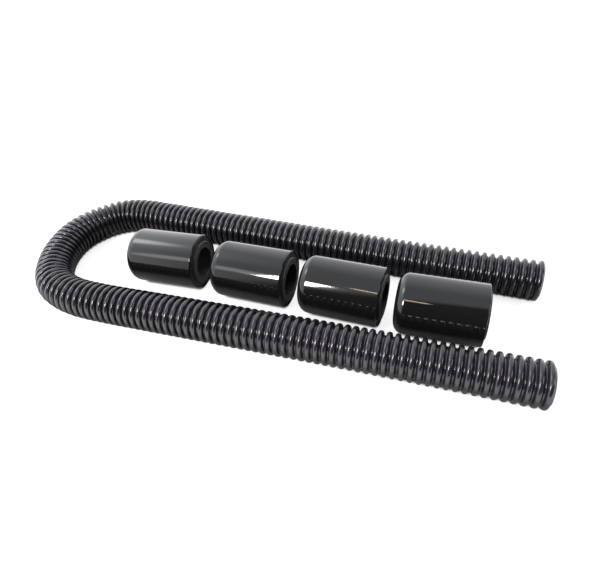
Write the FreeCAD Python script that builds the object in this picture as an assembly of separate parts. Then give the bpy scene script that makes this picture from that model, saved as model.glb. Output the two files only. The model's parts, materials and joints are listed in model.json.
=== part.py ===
import FreeCAD, Part
import math
import os

from FreeCAD import Placement, Rotation, Vector

# A corrugated vacuum hose lying in a U, with its four loose cuffs in a row between its legs.
# Millimetres. +X is towards the open ends of the hose, +Z is up, and z = 0 is the surface that
# everything lies on. The origin is under the middle of the whole set.

# ---- Hose ----
HOSE_R = 22.0               # over the crests of the ribs
HOSE_BORE_R = 17.2          # clear bore inside the valleys
# Centreline corners, from the near open end round the bend to the far open end.
HOSE_ROUTE = [
    (299.5, -80), (165, -80), (25, -82), (-90, -84), (-160, -85.5), (-205, -84), (-245, -69), (-273, -24),
    (-280, 29), (-252, 74), (-215, 86), (-170, 83.5), (-100, 79.5), (10, 73.5), (153, 66.5), (295, 60),
]
ARC_SHARE = 0.45            # part of the shorter run that each arc takes up

# ---- Cuff, drawn along its own +X axis with its open mouth at x = 0 ----
CUFF_R = 31.7
CUFF_LENGTH = 86.4
SHOULDER_R = 10.6           # rounding of the closed end
SHELL_WALL = 1.6
MOUTH_ROUND = 1.2           # outer edge of the open end
MOUTH_BREAK = 0.2           # inner edge of the open end
SLIDE_GAP = 0.3             # between the shell and what it slides over
HOSE_HOLE_R = HOSE_R + 0.6  # hole in the shoulder that the hose passes through
# Middle of each mouth on the surface, and the turn about Z that its axis has.
CUFF_PLACES = [
    ((-74.6, -1.8), 1.8), ((36.0, -8.3), -1.7), ((140.4, -13.5), -2.5), ((241.4, -15.9), 0.2),
]

SLEEVE_BORE_R = HOSE_R + 0.2
SLEEVE_R = 24.0
SLEEVE_START = -83.0        # inner end, just clear of the shoulder
SLEEVE_FACE = -0.6          # outer face of its collar
COLLAR_LENGTH = 9.0
STOP_START, STOP_END = -42.0, -38.0   # web that the hose and the reducer butt against
STOP_BORE_R = 18.4

PIPE_R = 17.15              # pipe that the reducer is made for
REDUCER_R = SLEEVE_BORE_R - 0.05
LIP_R = 24.4
LIP_PROUD = 2.0
LIP_BACK = SLEEVE_FACE + 0.05

# ---- Worm-drive clamp, drawn round the cuff's axis with its screw across the top ----
CLAMP_STATIONS = {"hose": -69.0, "pipe": -23.0}
BAND_R = SLEEVE_R + 0.03
BAND_WIDTH = 8.0
BAND_THICK = 0.7
TAIL_GAP = 0.02
TAIL_START_DEG, TAIL_END_DEG = -18.0, 78.0
SLOT_COUNT = 11
SLOT_WIDTH, SLOT_LENGTH = 0.9, 4.6
SLOT_FIRST_DEG, SLOT_STEP_DEG = 20.0, 5.0
SLOT_SLANT_DEG = 12.0
SCREW_R = 1.7
SCREW_CORE_R = 1.25
SCREW_HEIGHT = 27.15        # of its axis above the cuff's axis
THREAD_PITCH = 1.1
THREAD_TURNS = 6
HOUSING_HALF_LENGTH = 4.6   # along the screw
HOUSING_WALL = 0.4
HOUSING_BASE = 24.4
RUNNING_GAP = 0.08
HEAD_LENGTH = 2.2
HEAD_SLOT_WIDTH, HEAD_SLOT_DEPTH = 0.7, 0.9


def corner_edges(points, setbacks, closed=False):
    """Straight edges through the points, with a tangent arc cut into each corner that has a setback."""
    count = len(points)
    entries, exits, arcs = [], [], []
    for i, point in enumerate(points):
        setback = setbacks[i]
        if setback <= 0:
            entries.append(point)
            exits.append(point)
            continue
        before = (points[i - 1] - point).normalize()
        after = (points[(i + 1) % count] - point).normalize()
        half_angle = before.getAngle(after) / 2
        radius = setback * math.tan(half_angle)
        middle_way = (before + after).normalize()
        middle = point + middle_way * (radius / math.sin(half_angle) - radius)
        entry, leave = point + before * setback, point + after * setback
        entries.append(entry)
        exits.append(leave)
        arcs.append((i, radius, Part.Arc(entry, middle, leave).toShape()))
    arc_at = {i: arc for i, _, arc in arcs}
    edges = []
    for i in range(count):
        if i in arc_at:
            edges.append(arc_at[i])
        following = (i + 1) % count
        last = i == count - 1
        if last and not closed:
            break
        if exits[i].distanceToPoint(entries[following]) > 1e-6:
            edges.append(Part.LineSegment(exits[i], entries[following]).toShape())
    return edges, [radius for _, radius, _ in arcs]


def turned(outline):
    """A solid turned about X from (x, radius, rounding) corners."""
    points = [Vector(x, 0, r) for x, r, _ in outline]
    setbacks = []
    for i, (_, _, rounding) in enumerate(outline):
        before = points[i - 1] - points[i]
        after = points[(i + 1) % len(points)] - points[i]
        setbacks.append(rounding / math.tan(before.getAngle(after) / 2) if rounding else 0)
    edges, _ = corner_edges(points, setbacks, closed=True)
    face = Part.Face(Part.Wire(Part.__sortEdges__(edges)))
    return face.revolve(Vector(0, 0, 0), Vector(1, 0, 0), 360)


def as_solid(shape):
    """The one solid in a shape."""
    if len(shape.Solids) != 1:
        raise ValueError("expected one solid, found %d" % len(shape.Solids))
    return shape.Solids[0]


# ---- Hose ----

def hose():
    """Plain tube along the centreline, from crest to bore."""
    points = [Vector(x, y, HOSE_R) for x, y in HOSE_ROUTE]
    runs = [a.distanceToPoint(b) for a, b in zip(points, points[1:])]
    setbacks = [0] + [ARC_SHARE * min(a, b) for a, b in zip(runs, runs[1:])] + [0]
    edges, radii = corner_edges(points, setbacks)
    path = Part.Wire(edges)
    start = points[0]
    along = points[1] - points[0]

    def swept(radius):
        ring = Part.Wire([Part.Circle(start, along, radius).toShape()])
        return path.makePipeShell([ring], True, True)

    tube = as_solid(swept(HOSE_R).cut(swept(HOSE_BORE_R)))
    section = math.pi * (HOSE_R ** 2 - HOSE_BORE_R ** 2)
    print("hose length %.1f, arc radii %s" % (path.Length, [round(r) for r in radii]))
    print("hose volume / (section x length) = %.5f" % (tube.Volume / (section * path.Length)))
    print("straight to the first arc %.2f, to the last arc %.2f" % (edges[0].Length, edges[-1].Length))
    return tube


# ---- Cuff ----

def cuff_shell():
    """Thin cup: cylinder, rounded shoulder with a hole for the hose, open mouth."""
    inner_r = CUFF_R - SHELL_WALL
    shoulder_centre_x = -CUFF_LENGTH + SHOULDER_R
    blank = turned([
        (-CUFF_LENGTH, 0, 0), (-CUFF_LENGTH, CUFF_R, SHOULDER_R), (0, CUFF_R, MOUTH_ROUND), (0, 0, 0),
    ])
    cavity = turned([
        (-CUFF_LENGTH + SHELL_WALL, 0, 0), (-CUFF_LENGTH + SHELL_WALL, inner_r, SHOULDER_R - SHELL_WALL),
        (-MOUTH_BREAK, inner_r, 0), (0, inner_r + MOUTH_BREAK, 0), (1, inner_r + MOUTH_BREAK, 0),
        (1, 0, 0),
    ])
    hole = Part.makeCylinder(HOSE_HOLE_R, SHOULDER_R, Vector(shoulder_centre_x - SHOULDER_R - 1, 0, 0),
                             Vector(1, 0, 0))
    return as_solid(blank.cut(cavity).cut(hole))


def cuff_sleeve():
    """Rubber sleeve: thin wall that the clamps squeeze, stop web inside, collar at the mouth."""
    collar_r = CUFF_R - SHELL_WALL - SLIDE_GAP
    return as_solid(turned([
        (SLEEVE_START, SLEEVE_BORE_R, 0.4), (SLEEVE_START, SLEEVE_R, 0.8),
        (SLEEVE_FACE - COLLAR_LENGTH, SLEEVE_R, 1.5), (SLEEVE_FACE - COLLAR_LENGTH, collar_r, 0.8),
        (SLEEVE_FACE, collar_r, 1.4), (SLEEVE_FACE, SLEEVE_BORE_R, 0),
        (STOP_END, SLEEVE_BORE_R, 0), (STOP_END, STOP_BORE_R, 0.6),
        (STOP_START, STOP_BORE_R, 0.6), (STOP_START, SLEEVE_BORE_R, 0),
    ]))


def cuff_reducer():
    """Rubber ring that fills the sleeve down to the pipe, with a lip that laps the sleeve's face."""
    return as_solid(turned([
        (STOP_END + 0.5, PIPE_R, 0.4), (STOP_END + 0.5, REDUCER_R, 0.8),
        (LIP_BACK, REDUCER_R, 0), (LIP_BACK, LIP_R, 0),
        (LIP_PROUD, LIP_R, 1.2), (LIP_PROUD, PIPE_R, 0.8),
    ]))


# ---- Worm-drive clamp ----

def ring_sector(inner_r, outer_r, width, start_deg, end_deg):
    """Part of a ring about X, as wide as given along X. Degrees run from +Z towards +Y."""
    ring = Part.makeCylinder(outer_r, width, Vector(-width / 2, 0, 0), Vector(1, 0, 0))
    ring = ring.cut(Part.makeCylinder(inner_r, width, Vector(-width / 2, 0, 0), Vector(1, 0, 0)))
    far = outer_r * 2
    sweep = end_deg - start_deg
    corners = [Vector(0, 0, 0)]
    for i in range(5):
        angle = math.radians(start_deg + sweep * i / 4)
        corners.append(Vector(0, far * math.sin(angle), far * math.cos(angle)))
    corners.append(corners[0])
    wedge = Part.Face(Part.makePolygon(corners)).extrude(Vector(width + 2, 0, 0))
    wedge.translate(Vector(-width / 2 - 1, 0, 0))
    return ring.common(wedge)


def clamp_band():
    """Band closed on itself, with a slotted tail that laps over it."""
    outer_r = BAND_R + BAND_THICK
    ring = Part.makeCylinder(outer_r, BAND_WIDTH, Vector(-BAND_WIDTH / 2, 0, 0), Vector(1, 0, 0))
    ring = ring.cut(Part.makeCylinder(BAND_R, BAND_WIDTH, Vector(-BAND_WIDTH / 2, 0, 0), Vector(1, 0, 0)))
    tail = ring_sector(outer_r, outer_r + BAND_THICK, BAND_WIDTH, TAIL_START_DEG, TAIL_END_DEG)
    for i in range(SLOT_COUNT):
        slot = Part.makeBox(SLOT_LENGTH, SLOT_WIDTH, BAND_THICK * 2,
                            Vector(-SLOT_LENGTH / 2, -SLOT_WIDTH / 2, outer_r + TAIL_GAP))
        slot.rotate(Vector(0, 0, 0), Vector(0, 0, 1), SLOT_SLANT_DEG)
        slot.rotate(Vector(0, 0, 0), Vector(1, 0, 0), -(SLOT_FIRST_DEG + i * SLOT_STEP_DEG))
        tail = tail.cut(slot)
    return as_solid(ring.fuse(tail).removeSplitter())


def clamp_housing():
    """Pressed bridge over the band: two cheeks, a roof, and a round tunnel for the screw."""
    half_width = BAND_WIDTH / 2 + 0.1
    tunnel_r = SCREW_R + RUNNING_GAP
    roof_r = tunnel_r + HOUSING_WALL
    eaves = SCREW_HEIGHT - 0.8
    outline = [
        Vector(-half_width - 0.7, 0, HOUSING_BASE), Vector(-half_width - 0.7, 0, eaves - 0.5),
        Vector(-roof_r, 0, SCREW_HEIGHT), Vector(0, 0, SCREW_HEIGHT + roof_r),
        Vector(roof_r, 0, SCREW_HEIGHT), Vector(half_width + 0.7, 0, eaves - 0.5),
        Vector(half_width + 0.7, 0, HOUSING_BASE),
    ]
    edges = [
        Part.LineSegment(outline[0], outline[1]).toShape(),
        Part.LineSegment(outline[1], outline[2]).toShape(),
        Part.Arc(outline[2], outline[3], outline[4]).toShape(),
        Part.LineSegment(outline[4], outline[5]).toShape(),
        Part.LineSegment(outline[5], outline[6]).toShape(),
        Part.LineSegment(outline[6], outline[0]).toShape(),
    ]
    length = 2 * HOUSING_HALF_LENGTH
    block = Part.Face(Part.Wire(edges)).extrude(Vector(0, length, 0))
    block.translate(Vector(0, -HOUSING_HALF_LENGTH, 0))
    tunnel = Part.makeCylinder(tunnel_r, length + 2, Vector(0, -HOUSING_HALF_LENGTH - 1, SCREW_HEIGHT),
                               Vector(0, 1, 0))
    band_room = Part.makeCylinder(BAND_R + 2 * BAND_THICK + TAIL_GAP + 0.03, 2 * half_width,
                                  Vector(-half_width, 0, 0), Vector(1, 0, 0))
    return as_solid(block.cut(tunnel).cut(band_room))


def clamp_screw():
    """Worm screw with a slotted head, lying in the housing's tunnel."""
    length = 2 * HOUSING_HALF_LENGTH + 0.4
    start = Vector(0, -HOUSING_HALF_LENGTH - 0.2, SCREW_HEIGHT)
    along = Vector(0, 1, 0)
    screw = Part.makeCylinder(SCREW_CORE_R, length, start, along)
    first_turn = -(THREAD_TURNS - 1) * THREAD_PITCH / 2
    for i in range(THREAD_TURNS):
        middle = Vector(0, first_turn + i * THREAD_PITCH, SCREW_HEIGHT)
        half = THREAD_PITCH * 0.42
        rise = Part.makeCone(SCREW_CORE_R - 0.05, SCREW_R, half, middle - along * half, along)
        fall = Part.makeCone(SCREW_R, SCREW_CORE_R - 0.05, half, middle, along)
        screw = screw.fuse([rise, fall])
    head_start = start - along * HEAD_LENGTH
    head = Part.makeCylinder(SCREW_R, HEAD_LENGTH + 0.6, head_start, along)
    slot = Part.makeBox(HEAD_SLOT_WIDTH, HEAD_SLOT_DEPTH + 1, 4 * SCREW_R,
                        head_start + Vector(-HEAD_SLOT_WIDTH / 2, -1, -2 * SCREW_R))
    return as_solid(screw.fuse(head).cut(slot).removeSplitter())


# ---- Assembly ----

def placed(shape, place, turn_deg, station=0.0):
    """A copy of a cuff piece, moved along the cuff's axis and then to the cuff's place."""
    copy = shape.copy()
    copy.translate(Vector(station, 0, 0))
    move = Placement(Vector(place[0], place[1], CUFF_R), Rotation(Vector(0, 0, 1), turn_deg))
    copy.transformShape(move.toMatrix(), True)
    return copy


def build():
    """All the nodes by name."""
    nodes = {"hose": hose()}
    cuff_pieces = {"shell": cuff_shell(), "sleeve": cuff_sleeve(), "reducer": cuff_reducer()}
    clamp_pieces = {"band": clamp_band(), "housing": clamp_housing(), "screw": clamp_screw()}
    for number, (place, turn_deg) in enumerate(CUFF_PLACES, start=1):
        for name, shape in cuff_pieces.items():
            nodes["cuff_%d_%s" % (number, name)] = placed(shape, place, turn_deg)
        for side, station in CLAMP_STATIONS.items():
            for name, shape in clamp_pieces.items():
                node = "cuff_%d_%s_clamp_%s" % (number, side, name)
                nodes[node] = placed(shape, place, turn_deg, station)
    return nodes


os.makedirs("parts", exist_ok=True)
whole = FreeCAD.BoundBox()
for node_name, solid in build().items():
    if not solid.isValid():
        raise ValueError("not valid: " + node_name)
    whole.add(solid.optimalBoundingBox(False, False))
    solid.exportStep("parts/%s.step" % node_name)
print("box X %.2f %.2f  Y %.2f %.2f  Z %.2f %.2f" % (
    whole.XMin, whole.XMax, whole.YMin, whole.YMax, whole.ZMin, whole.ZMax))
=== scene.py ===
import json
import math
import random

import bmesh
import bpy
from mathutils import Matrix, Vector


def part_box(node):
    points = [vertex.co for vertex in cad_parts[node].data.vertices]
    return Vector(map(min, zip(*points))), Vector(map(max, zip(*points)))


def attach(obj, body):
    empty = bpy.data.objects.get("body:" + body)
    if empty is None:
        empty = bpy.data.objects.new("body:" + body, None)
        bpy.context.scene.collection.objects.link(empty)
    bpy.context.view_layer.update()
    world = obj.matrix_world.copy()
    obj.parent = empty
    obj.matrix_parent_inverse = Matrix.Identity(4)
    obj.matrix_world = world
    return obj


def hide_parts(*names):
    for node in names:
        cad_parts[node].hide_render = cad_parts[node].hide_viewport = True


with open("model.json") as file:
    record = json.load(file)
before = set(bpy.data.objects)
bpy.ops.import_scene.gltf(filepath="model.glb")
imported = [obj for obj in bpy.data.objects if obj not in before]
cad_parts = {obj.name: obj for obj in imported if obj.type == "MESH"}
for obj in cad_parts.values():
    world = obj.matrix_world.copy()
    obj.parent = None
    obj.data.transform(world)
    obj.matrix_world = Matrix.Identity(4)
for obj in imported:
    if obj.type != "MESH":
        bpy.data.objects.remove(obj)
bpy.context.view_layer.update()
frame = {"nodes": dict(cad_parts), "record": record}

# A corrugated vacuum hose lying in a U, with four loose cuffs in a row between its legs.
# Metres, in the frame of the CAD model: +X is towards the open ends, z = 0 is the surface.

MOUNTS = {mount["name"]: mount for mount in frame["record"]["mounts"]}
CUFFS = (1, 2, 3, 4)

# ---- Camera ----
CAMERA_PLACE = Vector((0.2000, -0.3842, 0.3790))
CAMERA_YAW, CAMERA_PITCH, CAMERA_ROLL = 22.91, -42.08, -6.35     # degrees
CAMERA_LENS, SENSOR_WIDTH = 29.67, 36.0

# ---- Hose ----
# Control points of the centreline, from the near open end round the bend to the far open end.
HOSE_ROUTE = [
    (0.2995, -0.080), (0.165, -0.080), (0.025, -0.082), (-0.090, -0.084), (-0.160, -0.0855),
    (-0.205, -0.084), (-0.245, -0.069), (-0.273, -0.024), (-0.280, 0.029), (-0.252, 0.074),
    (-0.215, 0.086), (-0.170, 0.0835), (-0.100, 0.0795), (0.010, 0.0735), (0.153, 0.0665),
    (0.295, 0.060),
]
HOSE_R = MOUNTS["hose_near_end"]["dims"]["r_mm"] / 1000     # over the crests
HOSE_LENGTH = 1.25
RIB_COUNT = 154
RIB_DEPTH = 0.0042
RIB_UNEVENNESS, RIB_SEED = 0.00012, 7       # how much lower than the rest a rib may be
HOSE_WALL = 0.0006
CREST_HALF_WIDTH, CREST_RISE = 0.0026, 0.0027
CREST_SQUARENESS = 2.35     # 2 is half an ellipse, seen across the hose; more is flatter on top
VALLEY_ROUND, VALLEY_TURN = 0.0012, 60      # radius, and the degrees turned on each side of the bottom
HOSE_SIDES_OUT, HOSE_SIDES_IN = 56, 32
CREST_STEPS_OUT, VALLEY_STEPS_OUT = 10, 3
CREST_STEPS_IN, VALLEY_STEPS_IN = 4, 2
ROUTE_STEPS = 40            # points read from the route's curve between two control points


def material(name, base, roughness, metallic=0.0, ior=1.5):
    """A new material with its Principled shader; returns (material, nodes, links, shader)."""
    made = bpy.data.materials.new(name)
    made.use_nodes = True
    nodes, links = made.node_tree.nodes, made.node_tree.links
    shader = nodes["Principled BSDF"]
    shader.inputs["Base Color"].default_value = (*base, 1)
    shader.inputs["Roughness"].default_value = roughness
    shader.inputs["Metallic"].default_value = metallic
    shader.inputs["IOR"].default_value = ior
    return made, nodes, links, shader


def object_place(nodes, links, scale=(1, 1, 1)):
    """Coordinates fixed to the object, stretched by scale."""
    place = nodes.new("ShaderNodeTexCoord")
    mapping = nodes.new("ShaderNodeMapping")
    mapping.inputs["Scale"].default_value = scale
    links.new(place.outputs["Object"], mapping.inputs["Vector"])
    return mapping.outputs["Vector"]


def noise(nodes, links, place, scale, detail=4.0, roughness=0.55):
    texture = nodes.new("ShaderNodeTexNoise")
    texture.inputs["Scale"].default_value = scale
    texture.inputs["Detail"].default_value = detail
    texture.inputs["Roughness"].default_value = roughness
    links.new(place, texture.inputs["Vector"])
    return texture.outputs["Fac"]


def ranged(nodes, links, value, low, high, out_low=0, out_high=1):
    """The value mapped from one range to another."""
    mapped = nodes.new("ShaderNodeMapRange")
    mapped.inputs["From Min"].default_value = low
    mapped.inputs["From Max"].default_value = high
    mapped.inputs["To Min"].default_value = out_low
    mapped.inputs["To Max"].default_value = out_high
    links.new(value, mapped.inputs["Value"])
    return mapped.outputs["Result"]


# Sockets of a Mix node, which has a pair of inputs and an output for each type of value.
MIX_NUMBERS, MIX_NUMBER = (2, 3), 0
MIX_COLOURS, MIX_COLOUR = (6, 7), 2


def two_colours(nodes, links, factor, first, second):
    mix = nodes.new("ShaderNodeMix")
    mix.data_type = "RGBA"
    for socket, colour in zip(MIX_COLOURS, (first, second)):
        mix.inputs[socket].default_value = (*colour, 1)
    links.new(factor, mix.inputs["Factor"])
    return mix.outputs[MIX_COLOUR]


def bump(nodes, links, height, strength, distance):
    made = nodes.new("ShaderNodeBump")
    made.inputs["Strength"].default_value = strength
    made.inputs["Distance"].default_value = distance
    links.new(height, made.inputs["Height"])
    return made.outputs["Normal"]


def hose_plastic():
    """Gloss black moulded plastic, with faint scuffs and a little dust that dull it in patches."""
    made, nodes, links, shader = material("hose_plastic", (0.006, 0.0055, 0.007), roughness=0.2,
                                          ior=1.57)
    shader.inputs["Specular Tint"].default_value = (0.98, 0.93, 1.0, 1)
    place = object_place(nodes, links)
    scuffs = noise(nodes, links, place, scale=90, detail=6, roughness=0.6)
    dull = ranged(nodes, links, scuffs, low=0.35, high=0.7, out_low=0.15, out_high=0.24)
    links.new(dull, shader.inputs["Roughness"])
    patches = noise(nodes, links, place, scale=9, detail=2)
    dusty = ranged(nodes, links, patches, low=0.35, high=0.65)
    clean_black, dusty_black = (0.0062, 0.0058, 0.0076), (0.0115, 0.0107, 0.014)
    links.new(two_colours(nodes, links, dusty, clean_black, dusty_black), shader.inputs["Base Color"])
    fine = noise(nodes, links, place, scale=900, detail=3)
    links.new(bump(nodes, links, fine, strength=0.12, distance=0.0001), shader.inputs["Normal"])
    return made


def shell_gloss():
    """Deep gloss black, with the faint orange peel of a sprayed or moulded skin."""
    made, nodes, links, shader = material("shell_gloss", (0.002, 0.002, 0.002), roughness=0.06)
    place = object_place(nodes, links)
    wiped_place = object_place(nodes, links, scale=(1, 3, 3))
    wiped = noise(nodes, links, wiped_place, scale=30, detail=4)
    dull = ranged(nodes, links, wiped, low=0.35, high=0.75, out_low=0.045, out_high=0.10)
    links.new(dull, shader.inputs["Roughness"])
    deep_black, greyer_black = (0.0045, 0.0045, 0.0048), (0.007, 0.007, 0.0075)
    links.new(two_colours(nodes, links, wiped, deep_black, greyer_black), shader.inputs["Base Color"])
    peel = noise(nodes, links, place, scale=260, detail=2, roughness=0.4)
    links.new(bump(nodes, links, peel, strength=0.05, distance=0.0002), shader.inputs["Normal"])
    return made


def rubber(name, base, dusty):
    """Matt black rubber with a fine grain and a grey bloom in patches."""
    made, nodes, links, shader = material(name, base, roughness=0.62)
    place = object_place(nodes, links)
    bloom = ranged(nodes, links, noise(nodes, links, place, scale=70, detail=5), low=0.4, high=0.7)
    links.new(two_colours(nodes, links, bloom, base, dusty), shader.inputs["Base Color"])
    grain = noise(nodes, links, place, scale=1400, detail=4)
    dull = ranged(nodes, links, grain, low=0.3, high=0.7, out_low=0.40, out_high=0.58)
    links.new(dull, shader.inputs["Roughness"])
    links.new(bump(nodes, links, grain, strength=0.25, distance=0.0002), shader.inputs["Normal"])
    return made


def strip_steel(name, base, roughness, streak):
    """Bright rolled or plated steel, with fine lines drawn along one way."""
    made, nodes, links, shader = material(name, base, roughness, metallic=1.0)
    lines = noise(nodes, links, object_place(nodes, links, streak), scale=400, detail=3)
    dull = ranged(nodes, links, lines, low=0.3, high=0.7,
                  out_low=roughness - 0.08, out_high=roughness + 0.12)
    links.new(dull, shader.inputs["Roughness"])
    darker = tuple(channel * 0.75 for channel in base)
    links.new(two_colours(nodes, links, lines, darker, base), shader.inputs["Base Color"])
    links.new(bump(nodes, links, lines, strength=0.1, distance=0.0001), shader.inputs["Normal"])
    return made


# ---- Making meshes ----

def smooth_piece(name, points, faces, finish):
    mesh = bpy.data.meshes.new(name)
    mesh.from_pydata(points, [], faces)
    mesh.materials.append(finish)
    mesh.polygons.foreach_set("use_smooth", [True] * len(mesh.polygons))
    mesh.update()
    piece = bpy.data.objects.new(name, mesh)
    bpy.context.collection.objects.link(piece)
    return piece


def ring_faces(ring_count, sides, closed_rings):
    """Quads between rings of points, each with the same number of sides."""
    faces = []
    last = ring_count if closed_rings else ring_count - 1
    for i in range(last):
        following = (i + 1) % ring_count
        for k in range(sides):
            beside = (k + 1) % sides
            faces.append((i * sides + k, following * sides + k, following * sides + beside,
                          i * sides + beside))
    return faces


# ---- Hose ----

def route_points():
    """Points read from the smooth curve that the route's control points give."""
    curve = bpy.data.curves.new("hose_route", "CURVE")
    curve.dimensions = "3D"
    curve.resolution_u = ROUTE_STEPS
    spline = curve.splines.new("NURBS")
    spline.points.add(len(HOSE_ROUTE) - 1)
    for point, (x, y) in zip(spline.points, HOSE_ROUTE):
        point.co = (x, y, HOSE_R, 1)
    spline.order_u = 3
    spline.use_endpoint_u = True
    guide = bpy.data.objects.new("hose_route", curve)
    bpy.context.collection.objects.link(guide)
    line = bpy.data.meshes.new_from_object(guide)
    points = [vertex.co.copy() for vertex in line.vertices]
    bpy.data.objects.remove(guide)
    return points


class Centreline:
    """Places and directions at any distance along a line of points."""

    def __init__(self, points):
        self.points = points
        self.reach = [0.0]
        for a, b in zip(points, points[1:]):
            self.reach.append(self.reach[-1] + (b - a).length)
        self.length = self.reach[-1]
        self.span = 0

    def at(self, distance):
        distance = min(max(distance, 0.0), self.length)
        while self.span < len(self.points) - 2 and self.reach[self.span + 1] < distance:
            self.span += 1
        while self.span > 0 and self.reach[self.span] > distance:
            self.span -= 1
        a, b = self.points[self.span], self.points[self.span + 1]
        part = (distance - self.reach[self.span]) / (self.reach[self.span + 1] - self.reach[self.span])
        return a.lerp(b, part)

    def direction(self, distance, window=0.004):
        ahead, behind = self.at(distance + window), self.at(distance - window)
        return (ahead - behind).normalized()


def rib_outline(wall, steps_crest, steps_valley):
    """One rib from valley to valley: (part of a pitch, radius) pairs of a wall offset inwards."""
    pitch = HOSE_LENGTH / RIB_COUNT
    half_width, rise, valley_r = CREST_HALF_WIDTH - wall, CREST_RISE - wall, VALLEY_ROUND + wall
    crest_height = HOSE_R - CREST_RISE
    valley_height = HOSE_R - RIB_DEPTH + VALLEY_ROUND
    valley = []
    for i in range(steps_valley + 1):
        angle = math.radians(-90 + VALLEY_TURN * i / steps_valley)
        valley.append((valley_r * math.cos(angle), valley_height + valley_r * math.sin(angle)))
    crest = []
    for i in range(steps_crest + 1):
        angle = math.radians(180 * i / steps_crest)
        side = -1 if i < steps_crest / 2 else 1
        across = side * half_width * abs(math.cos(angle)) ** (2 / CREST_SQUARENESS)
        up = rise * abs(math.sin(angle)) ** (2 / CREST_SQUARENESS)
        crest.append((pitch / 2 + across, crest_height + up))
    far_valley = [(pitch - x, r) for x, r in valley[1:]][::-1]
    return [(x / pitch, r) for x, r in valley + crest + far_valley]


def tube_rings(line, outline, sides, jitter):
    """Rings of points along the hose, rib after rib."""
    pitch = line.length / RIB_COUNT
    rings = []
    for rib in range(RIB_COUNT):
        for part, radius in outline:
            distance = (rib + part) * pitch
            middle = line.at(distance)
            across = Vector((0, 0, 1)).cross(line.direction(distance)).normalized()
            grown = radius + jitter[rib] * math.sin(math.pi * part)
            ring = []
            for k in range(sides):
                turn = 2 * math.pi * k / sides
                ring.append(middle + across * (grown * math.cos(turn))
                            + Vector((0, 0, grown * math.sin(turn))))
            rings.append(ring)
    return rings


def make_hose(finish):
    line = Centreline(route_points())
    source = random.Random(RIB_SEED)
    jitter = [source.uniform(-RIB_UNEVENNESS, 0.0) for _ in range(RIB_COUNT)]
    outline_out = rib_outline(0.0, CREST_STEPS_OUT, VALLEY_STEPS_OUT)
    outline_in = rib_outline(HOSE_WALL, CREST_STEPS_IN, VALLEY_STEPS_IN)
    outer = tube_rings(line, outline_out, HOSE_SIDES_OUT, jitter)
    inner = tube_rings(line, outline_in, HOSE_SIDES_IN, jitter)
    points = [point for ring in outer for point in ring]
    faces = ring_faces(len(outer), HOSE_SIDES_OUT, False)
    first_inner = len(points)
    points += [point for ring in inner for point in ring]
    faces += [tuple(first_inner + k for k in reversed(face))
              for face in ring_faces(len(inner), HOSE_SIDES_IN, False)]
    piece = smooth_piece("corrugated_hose", points, faces, finish)
    close_ends(piece, len(outer), first_inner, len(inner))
    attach(piece, "root")
    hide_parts("hose")
    tuple(line.at(0))


def close_ends(piece, outer_rings, first_inner, inner_rings):
    """The cut face of the wall at each end, between the outer and the inner ring."""
    work = bmesh.new()
    work.from_mesh(piece.data)
    work.verts.ensure_lookup_table()
    ends = [(0, first_inner), ((outer_rings - 1) * HOSE_SIDES_OUT,
                               first_inner + (inner_rings - 1) * HOSE_SIDES_IN)]
    for outer_start, inner_start in ends:
        edges = []
        for start, sides in ((outer_start, HOSE_SIDES_OUT), (inner_start, HOSE_SIDES_IN)):
            ring = [work.verts[start + k] for k in range(sides)]
            edges += [work.edges.get((ring[k], ring[(k + 1) % sides])) for k in range(sides)]
        made = bmesh.ops.bridge_loops(work, edges=edges)
        for face in made["faces"]:
            face.smooth = False
    bmesh.ops.recalc_face_normals(work, faces=work.faces)
    work.to_mesh(piece.data)
    work.free()


# ---- Cuffs ----
CUFF_LENGTH = 0.0864
SHELL_WALL = 0.0016
SHOULDER_R = 0.0106
MOUTH_ROUND = 0.0012
MOUTH_BREAK = 0.0002        # inner edge of the mouth
SUPPORT = 0.0003            # from a rounding to the ring that keeps the straight wall's shading flat
PIPE_END_DEPTH = 0.01775    # of a cuff's pipe mount, inside its mouth
HOSE_HOLE_R = HOSE_R + 0.0006
SHELL_SIDES = 160
SHOULDER_STEPS_OUT, SHOULDER_STEPS_IN, MOUTH_STEPS = 20, 10, 8
WALL_RINGS_OUT, WALL_RINGS_IN = 12, 6


def arc(centre_x, centre_r, radius, start, end, steps):
    """Points of an arc in the plane of the cuff's outline, in degrees from +X."""
    turn = [math.radians(start + (end - start) * i / steps) for i in range(steps + 1)]
    return [(centre_x + radius * math.cos(a), centre_r + radius * math.sin(a)) for a in turn]


def shell_outline(radius):
    """Closed outline of the shell's wall: (x, radius), mouth at x = 0, the shoulder at its other end."""
    inner_r = radius - SHELL_WALL
    shoulder_x, shoulder_centre_r = -CUFF_LENGTH + SHOULDER_R, radius - SHOULDER_R
    cut_out = math.degrees(math.acos((shoulder_centre_r - HOSE_HOLE_R) / SHOULDER_R)) - 90
    inner_turn = SHOULDER_R - SHELL_WALL
    cut_in = math.degrees(math.acos((shoulder_centre_r - HOSE_HOLE_R) / inner_turn)) - 90
    outside = arc(shoulder_x, shoulder_centre_r, SHOULDER_R, 180 - cut_out, 90, SHOULDER_STEPS_OUT)
    first, last = shoulder_x + SUPPORT, -MOUTH_ROUND - SUPPORT
    straight = [(first + (last - first) * i / WALL_RINGS_OUT, radius) for i in range(WALL_RINGS_OUT + 1)]
    mouth = arc(-MOUTH_ROUND, radius - MOUTH_ROUND, MOUTH_ROUND, 90, 0, MOUTH_STEPS)
    lip = [(0, inner_r + MOUTH_BREAK), (-MOUTH_BREAK, inner_r), (-MOUTH_BREAK - SUPPORT, inner_r)]
    bore = [(shoulder_x * i / WALL_RINGS_IN, inner_r) for i in range(1, WALL_RINGS_IN)]
    inside = arc(shoulder_x, shoulder_centre_r, inner_turn, 90, 180 - cut_in, SHOULDER_STEPS_IN)
    return outside + straight + mouth + lip + bore + inside


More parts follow.
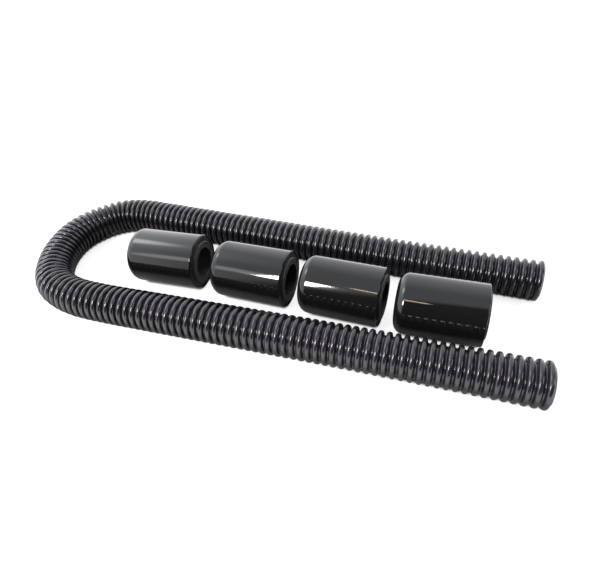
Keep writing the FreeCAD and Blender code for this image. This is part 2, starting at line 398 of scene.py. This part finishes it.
def cuff_place(number):
    """A matrix from the cuff's own axes, mouth at x = 0, to the model's frame; and its radius."""
    low, high = (Vector(corner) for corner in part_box("cuff_%d_shell" % number))
    pipe_end = MOUNTS["cuff_%d_pipe_end" % number]
    along = Vector(pipe_end["axis"]).normalized()
    mouth = Vector(pipe_end["pos_m"]) + along * PIPE_END_DEPTH
    turned = Matrix((along, Vector((0, 0, 1)).cross(along), Vector((0, 0, 1)))).transposed()
    return Matrix.Translation(mouth) @ turned.to_4x4(), (high.z - low.z) / 2


def make_shell(number, finish):
    place, radius = cuff_place(number)
    outline = shell_outline(radius)
    points = []
    for x, r in outline:
        for k in range(SHELL_SIDES):
            turn = 2 * math.pi * k / SHELL_SIDES
            points.append(place @ Vector((x, r * math.cos(turn), r * math.sin(turn))))
    faces = ring_faces(len(outline), SHELL_SIDES, True)
    piece = smooth_piece("gloss_shell_%d" % number, points, faces, finish)
    node = "cuff_%d_shell" % number
    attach(piece, node)
    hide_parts(node)


def finish_node(node, finish):
    """Gives a CAD node its material."""
    mesh = frame["nodes"][node].data
    mesh.materials.clear()
    mesh.materials.append(finish)


# ---- Stage ----
# The floor's glow from below is painted light. In reflections it glows only beyond a box round the part,
# which leaves the floor near the part darker as painted shade.
UNLIT_HALF = (0.31, 0.115)      # half sizes of the part of the floor that isn't lit from below
FLOOR_GLOW = 1.6
FLOOR_SEEN = 0.8
# The dark line is a painted shadow: ambient occlusion dims the floor's glow that the camera sees.
SHADE_REACH = 0.006             # how far the dark line under the hose and cuffs reaches
SHADE_START, SHADE_END = 0.38, 0.54     # openness to the sky, from none of its white to all of it
FLOOR_ALBEDO, FLOOR_ROUGHNESS = 0.4, 0.7
GLOW_EDGE = 1.25                # where the light from below is full, in parts of UNLIT_HALF
FLOOR_HALF = 6.0


def make_floor():
    """A plain white surface that glows: a painted light from below beyond the part, seen only in
    reflections, which leaves the floor near the part darker there as painted shade; to the camera it is
    white but for a painted shadow under the hose and cuffs.
    """
    made, nodes, links, shader = material("white_floor_painted_shadow", (FLOOR_ALBEDO,) * 3, FLOOR_ROUGHNESS)
    shader.inputs["Emission Color"].default_value = (1, 1, 1, 1)
    split = nodes.new("ShaderNodeSeparateXYZ")
    away = nodes.new("ShaderNodeVectorMath")
    away.operation = "ABSOLUTE"
    links.new(object_place(nodes, links, (1 / UNLIT_HALF[0], 1 / UNLIT_HALF[1], 1)), away.inputs[0])
    links.new(away.outputs["Vector"], split.inputs["Vector"])
    farthest = nodes.new("ShaderNodeMath")
    farthest.operation = "MAXIMUM"
    links.new(split.outputs["X"], farthest.inputs[0])
    links.new(split.outputs["Y"], farthest.inputs[1])
    from_below, seen = MIX_NUMBERS
    # In reflections the floor glows beyond the box and not near the part: painted light far off, painted
    # shade near the part.
    glow = nodes.new("ShaderNodeMix")
    links.new(nodes.new("ShaderNodeLightPath").outputs["Is Camera Ray"], glow.inputs["Factor"])
    links.new(ranged(nodes, links, farthest.outputs[0], 1.0, GLOW_EDGE, 0, FLOOR_GLOW),
              glow.inputs[from_below])
    # Ambient occlusion dims the glow the camera sees near the hose and cuffs, which paints a shadow under
    # them and in the notches between the ribs.
    painted_shadow = nodes.new("ShaderNodeAmbientOcclusion")
    painted_shadow.inputs["Distance"].default_value = SHADE_REACH
    links.new(ranged(nodes, links, painted_shadow.outputs["AO"], SHADE_START, SHADE_END, 0, FLOOR_SEEN),
              glow.inputs[seen])
    links.new(glow.outputs[MIX_NUMBER], shader.inputs["Emission Strength"])
    half = FLOOR_HALF
    corners = [(-half, -half, 0), (half, -half, 0), (half, half, 0), (-half, half, 0)]
    mesh = bpy.data.meshes.new("floor")
    mesh.from_pydata(corners, [], [(0, 1, 2, 3)])
    mesh.materials.append(made)
    floor = bpy.data.objects.new("floor", mesh)
    bpy.context.collection.objects.link(floor)


def compass(azimuth, elevation):
    """Direction of a light: azimuth in degrees from -Y towards +X, elevation from the floor."""
    azimuth, elevation = math.radians(azimuth), math.radians(elevation)
    return Vector((math.sin(azimuth) * math.cos(elevation), -math.cos(azimuth) * math.cos(elevation),
                   math.sin(elevation)))


class Room:
    """The soft light of a studio, as amounts that depend on the direction looked in."""

    def __init__(self, nodes, links):
        self.nodes, self.links = nodes, links
        self.direction = nodes.new("ShaderNodeTexCoord").outputs["Generated"]

    def math(self, operation, first, second):
        made = self.nodes.new("ShaderNodeMath")
        made.operation = operation
        for socket, value in zip(made.inputs, (first, second)):
            if isinstance(value, (int, float)):
                socket.default_value = value
            else:
                self.links.new(value, socket)
        return made.outputs[0]

    def soft_step(self, value, low, high, out_low, out_high):
        made = self.nodes.new("ShaderNodeMapRange")
        made.interpolation_type = "SMOOTHSTEP"
        ends = {"From Min": low, "From Max": high, "To Min": out_low, "To Max": out_high}
        for name, number in ends.items():
            made.inputs[name].default_value = number
        self.links.new(value, made.inputs["Value"])
        return made.outputs["Result"]

    def towards(self, axis):
        """How far a direction points along an axis, from -1 to 1."""
        made = self.nodes.new("ShaderNodeVectorMath")
        made.operation = "DOT_PRODUCT"
        made.inputs[1].default_value = axis
        self.links.new(self.direction, made.inputs[0])
        return made.outputs["Value"]

    def panel(self, azimuth, elevation, half_width, half_height, softness, strength):
        """A soft-edged panel of light, sized in parts of its distance."""
        centre = compass(azimuth, elevation)
        local = self.nodes.new("ShaderNodeMapping")
        local.vector_type = "TEXTURE"
        local.inputs["Location"].default_value = centre
        local.inputs["Rotation"].default_value = centre.to_track_quat("Z", "Y").to_euler()
        local.inputs["Scale"].default_value = (half_width, half_height, 1)
        self.links.new(self.direction, local.inputs["Vector"])
        off = self.nodes.new("ShaderNodeVectorMath")
        off.operation = "LENGTH"
        self.links.new(local.outputs["Vector"], off.inputs[0])
        return self.soft_step(off.outputs["Value"], 1 - softness, 1 + softness, strength, 0)


# Three soft steps in the room's light: which way each lies, between which two amounts of facing
# that way it comes in, and the light before and after. The walls add up; the dark side multiplies.
BACK_WALL, BACK_WALL_RANGE, BACK_WALL_LIGHT = (0, 1, 0), (0.1, 0.7), (1.1, 1.7)
LEFT_WALL, LEFT_WALL_RANGE, LEFT_WALL_LIGHT = (-1, 0, 0), (0.42, 0.60), (0.0, 1.0)
DARK_SIDE, DARK_SIDE_RANGE, DARK_SIDE_LIGHT = (0.782, -0.616, -0.096), (0.15, 0.29), (1.0, 0.05)
ROOM_COLOUR = (0.95, 0.98, 1)
# Azimuth, elevation, half width, half height, softness and strength of each panel of light.
PANELS = [
    (-95, 48, 0.34, 0.30, 0.6, 1.2),        # the pale glow round the left window
    (-95, 52, 0.16, 0.125, 0.4, 6),         # the left window itself
    (-35.5, 34, 0.075, 0.12, 0.5, 2.6),     # beside the front window
    (78, 40, 0.25, 0.22, 0.4, 5),           # on the right
    (-140, 28, 0.35, 0.35, 0.6, 0.3),       # faint, behind on the left
]


def make_world():
    """White behind everything; in the reflections, a room that is bright but for its front right."""
    world = bpy.data.worlds.new("studio")
    bpy.context.scene.world = world
    world.use_nodes = True
    nodes, links = world.node_tree.nodes, world.node_tree.links
    nodes.clear()
    room = Room(nodes, links)
    back_wall = room.soft_step(room.towards(BACK_WALL), *BACK_WALL_RANGE, *BACK_WALL_LIGHT)
    left_wall = room.soft_step(room.towards(LEFT_WALL), *LEFT_WALL_RANGE, *LEFT_WALL_LIGHT)
    dark_side = room.soft_step(room.towards(DARK_SIDE), *DARK_SIDE_RANGE, *DARK_SIDE_LIGHT)
    light = room.math("MULTIPLY", room.math("ADD", back_wall, left_wall), dark_side)
    for panel in PANELS:
        light = room.math("ADD", light, room.panel(*panel))
    lit = nodes.new("ShaderNodeBackground")
    lit.inputs["Color"].default_value = (*ROOM_COLOUR, 1)
    links.new(light, lit.inputs["Strength"])
    backdrop = nodes.new("ShaderNodeBackground")
    backdrop.inputs["Color"].default_value = (1, 1, 1, 1)
    seen_directly = nodes.new("ShaderNodeLightPath").outputs["Is Camera Ray"]
    mix = nodes.new("ShaderNodeMixShader")
    links.new(seen_directly, mix.inputs[0])
    links.new(lit.outputs[0], mix.inputs[1])
    links.new(backdrop.outputs[0], mix.inputs[2])
    links.new(mix.outputs[0], nodes.new("ShaderNodeOutputWorld").inputs[0])


def softbox(name, aim, azimuth, elevation, distance, size, power, colour=(1, 1, 1)):
    """A rectangle of light, at a distance from the point that it is aimed at."""
    data = bpy.data.lights.new(name, "AREA")
    data.shape = "RECTANGLE"
    data.size, data.size_y = size
    data.energy = power
    data.color = colour
    light = bpy.data.objects.new(name, data)
    away = compass(azimuth, elevation)
    light.location = Vector(aim) + away * distance
    light.rotation_euler = away.to_track_quat("Z", "Y").to_euler()
    bpy.context.collection.objects.link(light)


def make_lights():
    """The front window and the warm strip above it that the cuffs reflect."""
    softbox("window", aim=(0.0546, 0, 0.05), azimuth=-25.8, elevation=37, distance=2.0,
            size=(0.24, 0.52), power=26)
    softbox("warm_strip", aim=(0.1496, -0.015, 0.06), azimuth=-12, elevation=51.5, distance=2.0,
            size=(0.52, 0.10), power=2.2, colour=(1.0, 0.82, 0.56))


def make_camera():
    data = bpy.data.cameras.new("camera")
    data.sensor_width = SENSOR_WIDTH
    data.lens = CAMERA_LENS
    camera = bpy.data.objects.new("camera", data)
    yaw, pitch, roll = (math.radians(a) for a in (CAMERA_YAW, CAMERA_PITCH, CAMERA_ROLL))
    forward = Vector((-math.sin(yaw) * math.cos(pitch), math.cos(yaw) * math.cos(pitch), math.sin(pitch)))
    level = Vector((math.cos(yaw), math.sin(yaw), 0))
    up = level.cross(forward)
    right = level * math.cos(roll) + up * math.sin(roll)
    up = up * math.cos(roll) - level * math.sin(roll)
    turned = Matrix((right, up, -forward)).transposed()
    camera.matrix_world = Matrix.Translation(CAMERA_PLACE) @ turned.to_4x4()
    bpy.context.collection.objects.link(camera)
    bpy.context.scene.camera = camera


make_camera()
make_hose(hose_plastic())
gloss = shell_gloss()
sleeve_rubber = rubber("sleeve_rubber", (0.013, 0.013, 0.014), (0.026, 0.026, 0.026))
reducer_rubber = rubber("reducer_rubber", (0.022, 0.022, 0.023), (0.038, 0.038, 0.038))
band_steel = strip_steel("band_steel", (0.62, 0.62, 0.60), 0.30, (12, 1, 1))
housing_steel = strip_steel("housing_steel", (0.56, 0.56, 0.55), 0.36, (1, 12, 1))
screw_steel = strip_steel("screw_steel", (0.58, 0.56, 0.50), 0.28, (1, 1, 12))
for cuff in CUFFS:
    make_shell(cuff, gloss)
    finish_node("cuff_%d_sleeve" % cuff, sleeve_rubber)
    finish_node("cuff_%d_reducer" % cuff, reducer_rubber)
    for side in ("hose", "pipe"):
        finish_node("cuff_%d_%s_clamp_band" % (cuff, side), band_steel)
        finish_node("cuff_%d_%s_clamp_housing" % (cuff, side), housing_steel)
        finish_node("cuff_%d_%s_clamp_screw" % (cuff, side), screw_steel)
make_floor()
make_world()
make_lights()
bpy.context.scene.view_settings.view_transform = "Standard"
